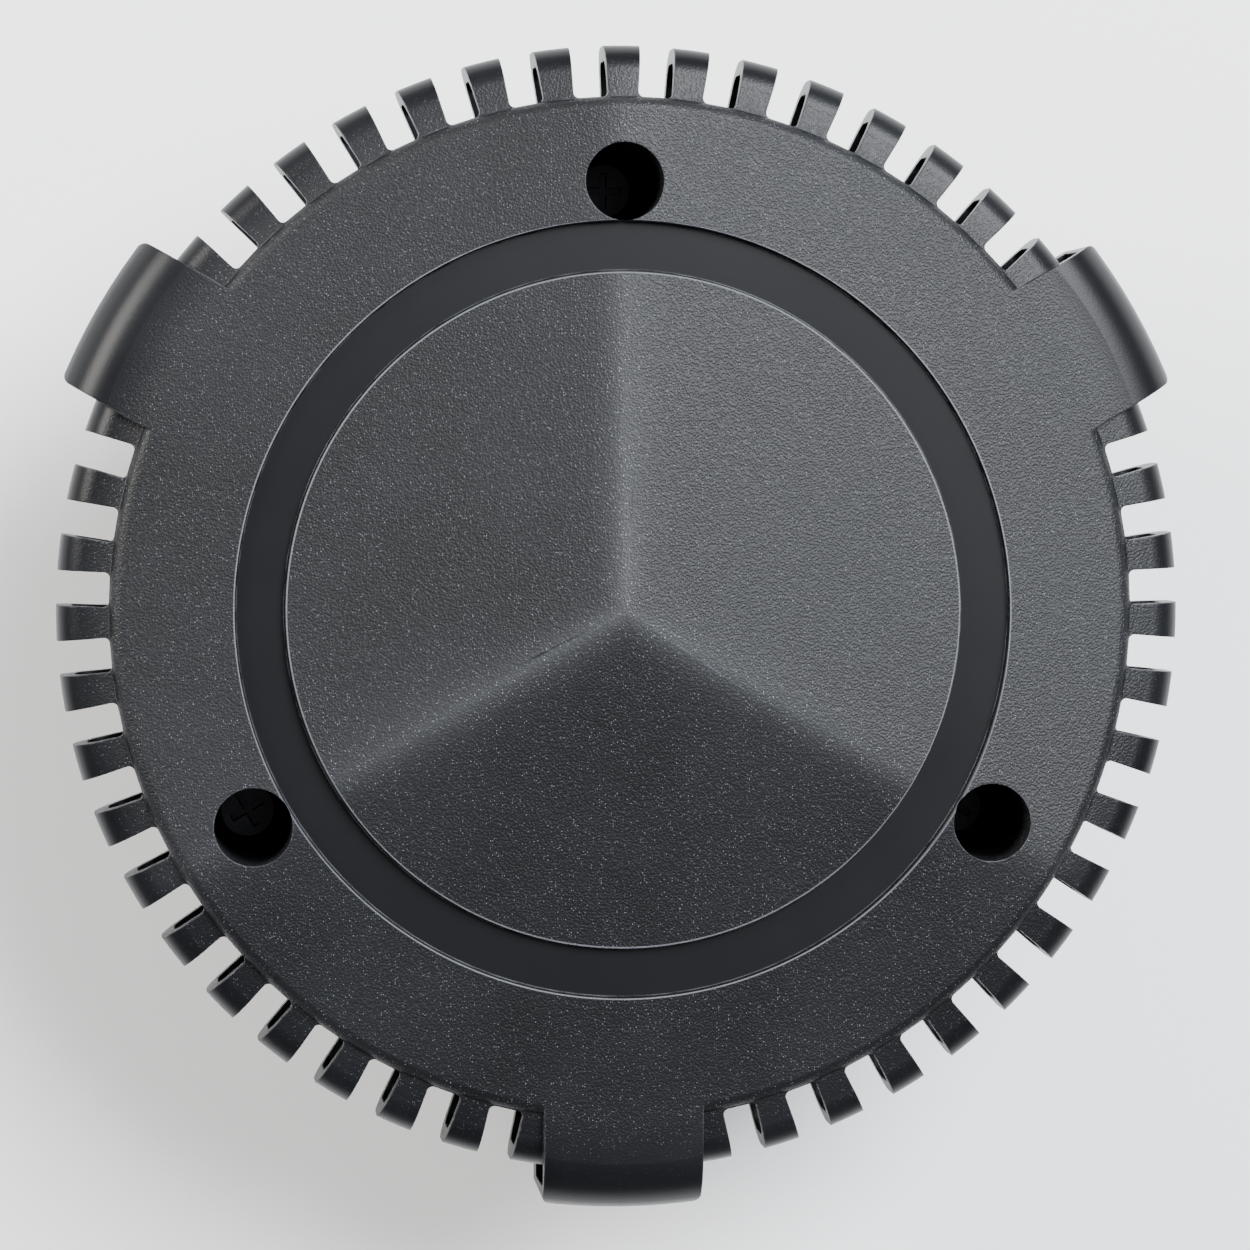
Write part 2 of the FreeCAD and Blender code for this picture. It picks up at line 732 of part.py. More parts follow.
def build_rotor_well():
    flange_bottom = d.hub_top
    top = d.hub_top + d.well_flange
    seal_low = d.seal_circle - d.seal_section / 2 - 0.05
    seal_high = d.seal_circle + d.seal_section / 2 + 0.05
    body = turned("rotor_well", [
        (zero, d.well_bottom),
        (d.well_inner + d.well_skin, d.well_bottom),
        (d.well_inner + d.well_skin, flange_bottom),
        (seal_low, flange_bottom),
        (seal_low, flange_bottom + d.seal_section),
        (seal_high, flange_bottom + d.seal_section),
        (seal_high, flange_bottom),
        (d.hub_radius - 0.1, flange_bottom),
        (d.hub_radius - 0.1, top - 0.5),
        (d.hub_radius - 0.6, top),
        (d.well_inner, top),
        (d.well_inner, d.well_bottom + 1.5),
        (d.front_cup_radius + 1.6, d.well_bottom + 1.5),
        (d.front_cup_radius + 1.6, d.well_bottom + 4.5),
        (d.front_cup_radius, d.well_bottom + 4.5),
        (d.front_cup_radius, d.well_bottom + 1.5),
        (zero, d.well_bottom + 1.5),
    ])
    for angle in LUG_ANGLES:
        hole = new_sketch(body, "HolePlan%d" % angle, "XZ_Plane", turn=angle)
        outline(hole, [
            (d.flange_screw_circle, flange_bottom - 1),
            (d.flange_screw_circle + d.flange_shank + 0.2, flange_bottom - 1),
            (d.flange_screw_circle + d.flange_shank + 0.2, top - 1.2),
            (d.flange_screw_circle + d.flange_head + 0.1, top),
            (d.flange_screw_circle + d.flange_head + 0.1, top + 1),
            (d.flange_screw_circle, top + 1),
        ])
        cut = feature(body, "Groove", "Hole%d" % angle, hole)
        cut.ReferenceAxis = (hole, ["Edge6"])
    return body


def build_stator_core():
    body = tube_body("stator_core", d.yoke_inner, d.hub_inner, d.core_bottom, d.core_top - d.core_bottom)
    tooth = new_sketch(body, "ToothPlan", "XY_Plane", d.core_bottom)
    block(tooth, d.tooth_tip + 0.7, d.yoke_inner + 0.6, d.tooth_width)
    teeth = pad(body, "Tooth", tooth, d.core_top - d.core_bottom)
    shoe = new_sketch(body, "ShoeSection", "XZ_Plane", turn=-21)
    outline(shoe, [
        (d.tooth_tip, d.core_bottom),
        (d.tooth_tip + 1.3, d.core_bottom),
        (d.tooth_tip + 1.3, d.core_top),
        (d.tooth_tip, d.core_top),
    ])
    shoes = revolve(body, "Shoe", shoe, angle=exact(42))
    pattern(body, "Teeth", [teeth, shoes], 6)
    return body


def frame_body(label, width, low, high, hole_width, hole_low, hole_high):
    """One rectangular frame round a stator tooth, used for a bobbin and for a coil."""
    body = new_body(label)
    half, hole_half = width / 2, hole_width / 2
    minus = Size("-" + half.text, -float(half))
    hole_minus = Size("-" + hole_half.text, -float(hole_half))
    plan = new_sketch(body, "Frame", "YZ_Plane", d.coil_inner)
    outline(plan, [(minus, low), (half, low), (half, high), (minus, high)])
    pad(body, "Frame", plan, d.coil_outer - d.coil_inner)
    hole = new_sketch(body, "Window", "YZ_Plane", d.coil_inner - 1)
    outline(hole, [(hole_minus, hole_low), (hole_half, hole_low), (hole_half, hole_high),
                   (hole_minus, hole_high)])
    pocket(body, "Window", hole, d.coil_outer - d.coil_inner + 2, upward=True)
    return body


def around(label, source, count, start=0.0):
    """Copies of one piece about the Z axis, kept as one group of separate solids."""
    doc.recompute()
    group = doc.addObject("Part::Feature", label)
    group.Label = label
    copies = []
    for number in range(count):
        copy = source.Shape.copy()
        copy.rotate(Vector(0, 0, 0), Vector(0, 0, 1), start + number * 360 / count)
        copies.append(copy)
    group.Shape = Part.makeCompound(copies)
    group.Placement = Placement()
    return group


def build_stator_windings():
    wall = d.bobbin_wall
    low, high = d.core_bottom - wall, d.core_top + wall
    window = d.tooth_width + wall * 2
    winding = exact(2.6)
    bobbin = frame_body("bobbin_shape", window, low, high, d.tooth_width, d.core_bottom, d.core_top)
    coil = frame_body("coil_shape", d.coil_width, low - winding, high + winding, window, low, high)

    def is_outer_corner(edge):
        point = middle(edge)
        return abs(edge.Length - (float(d.coil_outer) - float(d.coil_inner))) < 0.01 and (
            abs(point.y) > float(d.coil_width) / 2 - 0.1)
    round_edges(coil, "Corners", exact(2.0), is_outer_corner)
    return [around("coil_bobbins", bobbin, 6), around("stator_coils", coil, 6)]


# ---------------------------------------------------------------- screws

def build_screw(label, head_radius, head_height, shank_radius, length, top, drive_radius, countersunk):
    """One screw on its own axis at the origin, with its head's top at the given height."""
    under = top - head_height
    points = [
        (zero, top),
        (zero, under - length),
        (shank_radius - 0.5, under - length),
        (shank_radius, under - length + 0.8),
        (shank_radius, under),
    ]
    if countersunk:
        points.append((head_radius, top))
    else:
        points += [(head_radius, under), (head_radius, top - 0.4), (head_radius - 0.4, top)]
    body = turned(label, points)
    drive = new_sketch(body, "Drive", "XY_Plane", top - head_height * 0.6)
    block(drive, Size("-" + drive_radius.text, -float(drive_radius)), drive_radius, drive_radius * 0.36)
    first = pocket(body, "Drive", drive, head_height, upward=True)
    pattern(body, "Cross", [first], 2, 180.0).Angle = 90.0
    return body


def on_circle(label, screw, circle, angles):
    """The same screw at each angle of a circle."""
    doc.recompute()
    group = doc.addObject("Part::Feature", label)
    group.Label = label
    copies = []
    for angle in angles:
        copy = screw.Shape.copy()
        copy.translate(Vector(float(circle), 0, 0))
        copy.rotate(Vector(0, 0, 0), Vector(0, 0, 1), angle)
        copies.append(copy)
    group.Shape = Part.makeCompound(copies)
    group.Placement = Placement()
    return group


def build_screws():
    case = build_screw("case_screw_shape", d.case_head, d.case_head_height, d.case_shank, d.case_length,
                       d.well_floor + d.case_head_height, d.case_drive, False)
    flange = build_screw("flange_screw_shape", d.flange_head, d.flange_head_height, d.flange_shank,
                         d.flange_length, d.hub_top + d.well_flange, d.flange_drive, True)
    return [on_circle("case_screws", case, d.well_circle, WELL_ANGLES),
            on_circle("well_screws", flange, d.flange_screw_circle, LUG_ANGLES)]


# ---------------------------------------------------------------- rotor and its bearings

def build_rotor():
    bore = d.shaft_radius + d.bush_play
    parts = []
    parts.append(tube_body("rotor_magnet", d.sleeve_outer, d.magnet_outer, d.magnet_bottom,
                           d.magnet_top - d.magnet_bottom))
    parts.append(turned("rotor_core", [
        (d.bush_outer, d.magnet_bottom),
        (d.sleeve_outer, d.magnet_bottom),
        (d.sleeve_outer, d.magnet_top),
        (d.magnet_outer, d.magnet_top),
        (d.magnet_outer, d.magnet_top + 1.6),
        (d.sleeve_outer, d.magnet_top + 1.6),
        (d.sleeve_outer, d.rotor_top),
        (d.bush_outer, d.rotor_top),
    ]))
    parts.append(tube_body("front_bush", bore, d.bush_outer, d.magnet_bottom - 0.3, d.bush_length))
    rear_start = d.rotor_top - d.bush_length + 0.3
    parts.append(tube_body("rear_bush", bore, d.bush_outer, rear_start, d.bush_length))
    parts.append(turned("shaft", [
        (zero, d.shaft_bottom),
        (d.shaft_radius - 0.3, d.shaft_bottom),
        (d.shaft_radius, d.shaft_bottom + 0.3),
        (d.shaft_radius, d.shaft_top - 0.3),
        (d.shaft_radius - 0.3, d.shaft_top),
        (zero, d.shaft_top),
    ]))
    for label, start in (("front_washer", d.magnet_bottom - 1.1), ("rear_washer", d.boss_bottom - 0.75)):
        parts.append(tube_body(label, bore, d.washer_outer, start, d.washer_thickness))
    cup_floor = d.well_bottom + 1.5
    parts.append(turned("front_shaft_cup", [
        (zero, cup_floor),
        (d.front_cup_radius, cup_floor),
        (d.front_cup_radius, d.magnet_bottom - 1.2),
        (d.shaft_radius, d.magnet_bottom - 1.2),
        (d.shaft_radius, d.shaft_bottom),
        (zero, d.shaft_bottom),
    ]))
    parts.append(turned("rear_shaft_cup", [
        (zero, d.shaft_top),
        (d.shaft_radius, d.shaft_top),
        (d.shaft_radius, d.boss_bottom - 0.1),
        (d.rear_cup_radius, d.boss_bottom - 0.1),
        (d.rear_cup_radius, d.boss_bottom + d.rear_cup_depth),
        (zero, d.boss_bottom + d.rear_cup_depth),
    ]))
    parts.append(turned("propeller_nut", [
        (d.bush_outer + 0.2, d.rotor_top),
        (d.cap_radius, d.rotor_top),
        (d.cap_radius, d.rotor_top + 1.0),
        (d.cap_radius - 1.2, d.rotor_top + d.cap_height),
        (d.bush_outer + 0.2, d.rotor_top + d.cap_height),
    ]))
    return parts


def blade_section(share):
    """One closed section of a blade, as a wire; share runs from 0 at the root to 1 at the tip."""
    root, tip = float(d.blade_root), float(d.blade_tip) + 1
    radius = root + share * (tip - root)
    pitch = math.radians(float(d.blade_root_pitch) * (1 - share) + float(d.blade_tip_pitch) * share)
    chord = float(d.blade_chord) + float(d.blade_chord_gain) * math.sin(math.pi * share * 0.7)
    half = float(d.blade_root_half) * (1 - share) + float(d.blade_tip_half) * share
    rise = float(d.prop_bottom) + float(d.blade_rise)
    # the section's outline from one edge to the other and back: place along the chord, and side
    outline_shares = ((-0.5, 0.0), (-0.25, 1.0), (0.2, 1.1), (0.5, 0.0), (0.2, -0.5), (-0.25, -0.6))
    corners = []
    for along_share, side_share in outline_shares:
        along, side = along_share * chord, side_share * half
        level = along * math.sin(pitch) + side * math.cos(pitch)
        corners.append(Vector(radius, along * math.cos(pitch) - side * math.sin(pitch),
                              rise + level * float(d.blade_flattening)))
    section = Part.BSplineCurve()
    section.interpolate(Points=corners, PeriodicFlag=True)
    wire = Part.Wire([section.toShape()])
    wire.rotate(Vector(0, 0, 0), Vector(0, 0, 1), -float(d.blade_sweep) * share ** 2)
    return wire


def build_propeller():
    hub = turned("propeller_hub", [
        (d.sleeve_outer, d.prop_bottom + d.prop_foot),
        (exact(9.0), d.prop_bottom + d.prop_foot),
        (d.prop_hub - 2.2, d.prop_bottom),
        (d.prop_hub, d.prop_bottom),
        (d.prop_hub, d.prop_bottom + d.prop_foot),
        (d.prop_hub - 8.0, d.rotor_top - 1.4),
        (d.cap_radius + 0.4, d.rotor_top),
        (d.sleeve_outer, d.rotor_top),
    ], {4: (exact(22.0), 1)})
    doc.recompute()
    # the blades end on a cylinder at the tip, and start inside the hub's rim
    foot = Vector(0, 0, float(d.prop_bottom) - 0.2)
    room = 14.0
    ring_space = Part.makeCylinder(float(d.blade_tip), room, foot)
    ring_space = ring_space.cut(Part.makeCylinder(float(d.prop_hub) - 3, room, foot))
    blade = Part.makeLoft([blade_section(share) for share in (0.0, 0.34, 0.68, 1.0)], True, False)
    shape = hub.Shape
    for number in range(int(float(d.blade_count))):
        turned_blade = blade.copy()
        turned_blade.rotate(Vector(0, 0, 0), Vector(0, 0, 1), number * 360 / float(d.blade_count))
        shape = shape.fuse(turned_blade.common(ring_space))
    piece = doc.addObject("Part::Feature", "propeller")
    piece.Label = "propeller"
    piece.Shape = shape.removeSplitter()
    piece.Placement = Placement()
    return piece


# ---------------------------------------------------------------- sensor board, seal and gland

def build_sensor_board():
    board = tube_body("sensor_board", d.well_inner + d.well_skin + 0.3, exact(13.8), d.core_top + 3.4,
                      exact(1.2))
    chip = new_body("chip_shape")
    plan = new_sketch(chip, "Plan", "XY_Plane", d.core_top + 4.6)
    block(plan, exact(11.3), exact(13.3), exact(3.0))
    pad(chip, "Chip", plan, exact(1.1))
    return [board, around("hall_sensors", chip, 3, 10.0)]


def build_well_seal():
    seal = doc.addObject("Part::Torus", "well_seal")
    seal.Label = "well_seal"
    bind(seal, "Radius1", d.seal_circle)
    bind(seal, "Radius2", d.seal_section / 2)
    bind(seal, "Placement.Base.z", d.hub_top + d.seal_section / 2)
    return seal


def build_gland():
    """The gland's pieces are turned about the lead's axis, which leaves the duct along -Y."""
    pieces = []
    seat = d.gland_face - 3.4

    def lying(body):
        body.Placement = Placement(Vector(0, 0, float(d.lead_height)), Rotation(Vector(1, 0, 0), 90))
        return body
    pieces.append(lying(turned("gland_body", [
        (d.gland_bore + 0.6, seat),
        (d.gland_stub, seat),
        (d.gland_stub, d.gland_face + d.gland_seat),
        (d.gland_flange - 0.2, d.gland_face + d.gland_seat),
        (d.gland_flange - 0.2, d.gland_face + 3.2),
        (d.gland_stub - 0.8, d.gland_face + 3.2),
        (d.gland_stub - 0.8, d.gland_face + d.gland_neck),
        (d.grommet_outer, d.gland_face + d.gland_neck),
        (d.grommet_outer, d.gland_face + 1.2),
        (d.gland_bore + 0.6, d.gland_face + 1.2),
    ])))
    pieces.append(lying(tube_body("gland_washer", d.gland_stub, d.gland_flange - 0.2, d.gland_face,
                                  d.gland_seat)))
    pieces.append(lying(turned("gland_grommet", [
        (d.gland_bore, d.gland_face + 1.2),
        (d.grommet_outer, d.gland_face + 1.2),
        (d.grommet_outer, d.gland_face + d.gland_neck),
        (d.grommet_outer - 0.2, d.gland_face + d.gland_neck + 1),
        (d.gland_bore, d.gland_face + d.gland_neck + 1),
    ])))
    nut = turned("gland_nut", [
        (d.gland_stub - 0.8, d.gland_face + 3.4),
        (d.gland_flange - 0.4, d.gland_face + 3.4),
        (d.gland_flange - 0.4, d.gland_face + 7.4),
        (d.gland_flange - 1.6, d.gland_face + 9.6),
        (d.gland_mouth, d.gland_face + 9.6),
        (d.gland_mouth, d.gland_face + d.gland_neck + 1),
        (d.gland_stub - 0.8, d.gland_face + d.gland_neck + 1),
    ], {2: (exact(2.8), 1)})
    flute = new_sketch(nut, "FlutePlan", "XY_Plane", d.gland_face + 3.0)
    ring(flute, (exact(0.7),), d.gland_flange - 0.1)
    flutes = pocket(nut, "Flute", flute, exact(8.0), upward=True)
    pattern(nut, "Flutes", [flutes], 12)
    pieces.append(lying(nut))
    return pieces


# ---------------------------------------------------------------- build, check and write

nodes = [build_rear_cover(), build_front_housing(), build_diffuser(), build_outlet_guard()]
nodes += [build_rotor_well(), build_stator_core()]
nodes += build_stator_windings()
nodes += build_screws()
nodes += build_rotor()
nodes.append(build_propeller())
nodes += build_sensor_board()
nodes.append(build_well_seal())
nodes += build_gland()
doc.recompute()

for item in doc.Objects:
    if "Invalid" in item.State or "Error" in item.State:
        raise RuntimeError("%s did not recompute" % item.Name)
    if item.TypeId in ("PartDesign::Pocket", "PartDesign::Groove"):
        if item.BaseFeature.Shape.Volume - item.Shape.Volume < 0.01:
            raise RuntimeError("%s removes nothing" % item.Name)
for node in nodes:
    if node.Shape.isNull() or not node.Shape.isValid() or not node.Shape.Solids:
        raise RuntimeError("%s has no sound solid" % node.Label)

os.makedirs("parts", exist_ok=True)
for node in nodes:
    node.Shape.exportStep(os.path.join("parts", node.Label + ".step"))
print("%d pieces written" % len(nodes))
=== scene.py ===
import math

import bpy
from mathutils import Matrix, Vector


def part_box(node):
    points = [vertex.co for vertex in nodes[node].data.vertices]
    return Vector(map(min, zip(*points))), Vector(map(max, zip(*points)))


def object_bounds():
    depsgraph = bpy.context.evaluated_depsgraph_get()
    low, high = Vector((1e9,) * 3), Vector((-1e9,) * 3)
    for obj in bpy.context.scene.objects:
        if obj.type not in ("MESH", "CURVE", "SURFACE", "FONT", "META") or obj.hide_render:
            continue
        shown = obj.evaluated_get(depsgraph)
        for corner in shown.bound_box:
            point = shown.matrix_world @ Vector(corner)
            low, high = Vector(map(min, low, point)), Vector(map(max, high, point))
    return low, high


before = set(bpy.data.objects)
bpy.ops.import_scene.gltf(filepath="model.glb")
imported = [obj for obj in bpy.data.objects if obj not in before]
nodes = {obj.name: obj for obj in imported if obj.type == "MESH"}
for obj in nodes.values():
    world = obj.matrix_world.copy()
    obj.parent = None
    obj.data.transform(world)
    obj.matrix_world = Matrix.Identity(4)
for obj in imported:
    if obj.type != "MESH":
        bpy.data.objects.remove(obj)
cad_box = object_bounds()

# ---------------------------------------------------------------- rear cover
# One black ABS moulding. Its facets carry a fine spark-eroded grain, the sunk band is polished, and
# the fingers and lug ends are satin. Hooks under its three lugs and three case screws hold it.

cover_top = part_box("rear_cover")[1][2]


def group_tree(name, inputs, outputs):
    """An empty shader group with the given named sockets, and its input and output nodes."""
    tree = bpy.data.node_groups.new(name, "ShaderNodeTree")
    for label, kind, value in inputs:
        socket = tree.interface.new_socket(label, in_out="INPUT", socket_type="NodeSocket" + kind)
        if value is not None:
            socket.default_value = value
    for label, kind in outputs:
        tree.interface.new_socket(label, in_out="OUTPUT", socket_type="NodeSocket" + kind)
    return tree, tree.nodes.new("NodeGroupInput"), tree.nodes.new("NodeGroupOutput")


def add(tree, kind, **settings):
    """A shader node; names in capitals set its input values, the others set its own options."""
    node = tree.nodes.new("ShaderNode" + kind)
    for name, value in settings.items():
        if name[0].isupper():
            node.inputs[name.replace("_", " ")].default_value = value
        else:
            setattr(node, name, value)
    return node


def math_node(tree, operation, first, second=None, third=None, clamp=False):
    """A math node's result; each operand is a number or another node's output."""
    node = tree.nodes.new("ShaderNodeMath")
    node.operation = operation
    node.use_clamp = clamp
    for slot, value in enumerate((first, second, third)):
        if value is None:
            continue
        if isinstance(value, (int, float)):
            node.inputs[slot].default_value = value
        else:
            tree.links.new(value, node.inputs[slot])
    return node.outputs[0]


def ramp(tree, source, low, high, out_low=0.0, out_high=1.0):
    """Maps a value smoothly from one range to another and stops at both ends."""
    node = tree.nodes.new("ShaderNodeMapRange")
    node.interpolation_type = "SMOOTHSTEP"
    node.inputs["From Min"].default_value = low
    node.inputs["From Max"].default_value = high
    node.inputs["To Min"].default_value = out_low
    node.inputs["To Max"].default_value = out_high
    tree.links.new(source, node.inputs["Value"])
    return node.outputs["Result"]


def moulded_grain_group():
    """Spark-eroded grain: fine pits and bumps, slow tone changes, and rare specks where painted glints go.
    """
    tree, given, result = group_tree(
        "moulded_grain",
        [("Grain Size", "Float", 0.0004), ("Pit Depth", "Float", 1.0)],
        [("Height", "Float"), ("Tone", "Float"), ("Speck", "Float")])
    place = add(tree, "TexCoord").outputs["Object"]
    scale = math_node(tree, "DIVIDE", 1.0, given.outputs["Grain Size"])
    fine = add(tree, "TexNoise", Detail=3.0, Roughness=0.62)
    pits = add(tree, "TexVoronoi", Randomness=1.0)
    glint_speck = add(tree, "TexVoronoi", Randomness=1.0)
    slow = add(tree, "TexNoise", Scale=46.0, Detail=4.0, Roughness=0.6)
    pit_scale = math_node(tree, "MULTIPLY", scale, 0.8)
    for node, size in ((fine, scale), (pits, pit_scale), (glint_speck, scale)):
        tree.links.new(place, node.inputs["Vector"])
        tree.links.new(size, node.inputs["Scale"])
    tree.links.new(place, slow.inputs["Vector"])
    pit = math_node(tree, "MULTIPLY", ramp(tree, pits.outputs["Distance"], 0.15, 0.75),
                    given.outputs["Pit Depth"])
    height = math_node(tree, "ADD", fine.outputs["Fac"], pit)
    chance = add(tree, "SeparateColor")
    tree.links.new(glint_speck.outputs["Color"], chance.inputs["Color"])
    rare = ramp(tree, chance.outputs["Red"], 0.72, 0.98)
    near = ramp(tree, glint_speck.outputs["Distance"], 0.34, 0.08)
    tree.links.new(height, result.inputs["Height"])
    tree.links.new(slow.outputs["Fac"], result.inputs["Tone"])
    tree.links.new(math_node(tree, "MULTIPLY", rare, near), result.inputs["Speck"])
    return tree


def edge_wear_group():
    """Softened corners and the thin rubbed line that shows on a moulding's sharp edges."""
    tree, given, result = group_tree(
        "edge_wear",
        [("Radius", "Float", 0.0003)],
        [("Normal", "Vector"), ("Wear", "Float")])
    soft = add(tree, "Bevel", samples=6)
    tree.links.new(given.outputs["Radius"], soft.inputs["Radius"])
    true_normal = add(tree, "NewGeometry").outputs["Normal"]
    turned = add(tree, "VectorMath", operation="DOT_PRODUCT")
    tree.links.new(soft.outputs["Normal"], turned.inputs[0])
    tree.links.new(true_normal, turned.inputs[1])
    place = add(tree, "TexCoord").outputs["Object"]
    patchy = add(tree, "TexNoise", Scale=420.0, Detail=3.0)
    tree.links.new(place, patchy.inputs["Vector"])
    edge = ramp(tree, turned.outputs["Value"], 0.995, 0.86)
    broken = ramp(tree, patchy.outputs["Fac"], 0.35, 0.62)
    tree.links.new(soft.outputs["Normal"], result.inputs["Normal"])
    tree.links.new(math_node(tree, "MULTIPLY", edge, broken), result.inputs["Wear"])
    return tree


def ring_mask_group():
    """One inside a ring about the pump's axis and between two heights, zero outside it."""
    tree, given, result = group_tree(
        "ring_mask",
        [("Inner", "Float", 0.0), ("Outer", "Float", 1.0), ("Bottom", "Float", -1.0),
         ("Top", "Float", 1.0), ("Soft", "Float", 0.0002)],
        [("Mask", "Float")])
    place = add(tree, "TexCoord").outputs["Object"]
    split = add(tree, "SeparateXYZ")
    tree.links.new(place, split.inputs[0])
    across = math_node(tree, "MULTIPLY", split.outputs["X"], split.outputs["X"])
    along = math_node(tree, "MULTIPLY", split.outputs["Y"], split.outputs["Y"])
    reach = math_node(tree, "SQRT", math_node(tree, "ADD", across, along))
    parts = []
    for value, low, high in ((reach, "Inner", "Outer"), (split.outputs["Z"], "Bottom", "Top")):
        above = math_node(tree, "DIVIDE", math_node(tree, "SUBTRACT", value, given.outputs[low]),
                          given.outputs["Soft"], clamp=True)
        below = math_node(tree, "DIVIDE", math_node(tree, "SUBTRACT", given.outputs[high], value),
                          given.outputs["Soft"], clamp=True)
        parts.append(math_node(tree, "MULTIPLY", above, below))
    tree.links.new(math_node(tree, "MULTIPLY", parts[0], parts[1]), result.inputs["Mask"])
    return tree


def facet_ridge_group():
    """One on the three ridges between the cover's facets; Facet is a height that sharpens them.

    A place's reach is its distance along each facet's middle line. The largest says which facet it
    is on, and the two largest are equal on a ridge.
    """
    tree, given, result = group_tree(
        "facet_ridge",
        [("Width", "Float", 0.001), ("Spread", "Float", 0.06), ("Reach", "Float", 0.05)],
        [("Ridge", "Float"), ("Facet", "Float")])
    place = add(tree, "TexCoord").outputs["Object"]
    reaches = []
    for angle in (math.radians(30), math.radians(150), math.radians(270)):
        along = add(tree, "VectorMath", operation="DOT_PRODUCT")
        tree.links.new(place, along.inputs[0])
        along.inputs[1].default_value = (math.cos(angle), math.sin(angle), 0.0)
        reaches.append(along.outputs["Value"])

    def combined(operation, softness=None):
        pair = math_node(tree, operation, reaches[0], reaches[1], softness)
        return math_node(tree, operation, pair, reaches[2], softness)

    most = combined("MAXIMUM")
    least = combined("MINIMUM")
    aside = math_node(tree, "DIVIDE", math_node(tree, "MULTIPLY_ADD", most, 2.0, least), math.sqrt(3.0))
    width = math_node(tree, "MULTIPLY_ADD", most, given.outputs["Spread"], given.outputs["Width"])
    fall_off = 1.25
    fallen = math_node(tree, "POWER", math_node(tree, "DIVIDE", aside, width), fall_off)
    near = math_node(tree, "EXPONENT", math_node(tree, "MULTIPLY", -1.0, fallen))
    gone = math_node(tree, "DIVIDE", most, given.outputs["Reach"])
    fade = math_node(tree, "SUBTRACT", 1.0, gone, clamp=True)
    ridge_softness = 0.007
    rounded = combined("SMOOTH_MAX", ridge_softness)
    tree.links.new(math_node(tree, "MULTIPLY", near, fade), result.inputs["Ridge"])
    tree.links.new(math_node(tree, "MULTIPLY", rounded, -1.0), result.inputs["Facet"])
    return tree


grain_tree = moulded_grain_group()
wear_tree = edge_wear_group()
ring_tree = ring_mask_group()
ridge_tree = facet_ridge_group()


def placed(tree, group, **values):
    """The shared group, placed in a material with that material's own values."""
    node = tree.nodes.new("ShaderNodeGroup")
    node.node_tree = group
    for name, value in values.items():
        node.inputs[name.replace("_", " ")].default_value = value
    return node


def blank_material(name):
    """A new material, its node tree and its Principled shader."""
    material = bpy.data.materials.new(name)
    material.use_nodes = True
    tree = material.node_tree
    return material, tree, tree.nodes["Principled BSDF"]


def mix_colour(tree, amount, first, second, kind="RGBA"):
    """Two colours, or two normals, mixed; each is a plain colour or another node's output."""
    node = add(tree, "Mix", data_type=kind)
    tree.links.new(amount, node.inputs["Factor"])
    for name, value in (("A", first), ("B", second)):
        socket = next(s for s in node.inputs if s.name == name and s.type == kind)
        if isinstance(value, tuple):
            socket.default_value = (*value, 1.0)
        else:
            tree.links.new(value, socket)
    return next(s for s in node.outputs if s.type == kind)


def bumped(tree, shader, height, strength, distance, normal):
    """Feeds a height, laid over a normal, to the shader through a bump."""
    bump = add(tree, "Bump", Strength=strength, Distance=distance)
    tree.links.new(height, bump.inputs["Height"])
    tree.links.new(normal, bump.inputs["Normal"])
    tree.links.new(bump.outputs["Normal"], shader.inputs["Normal"])


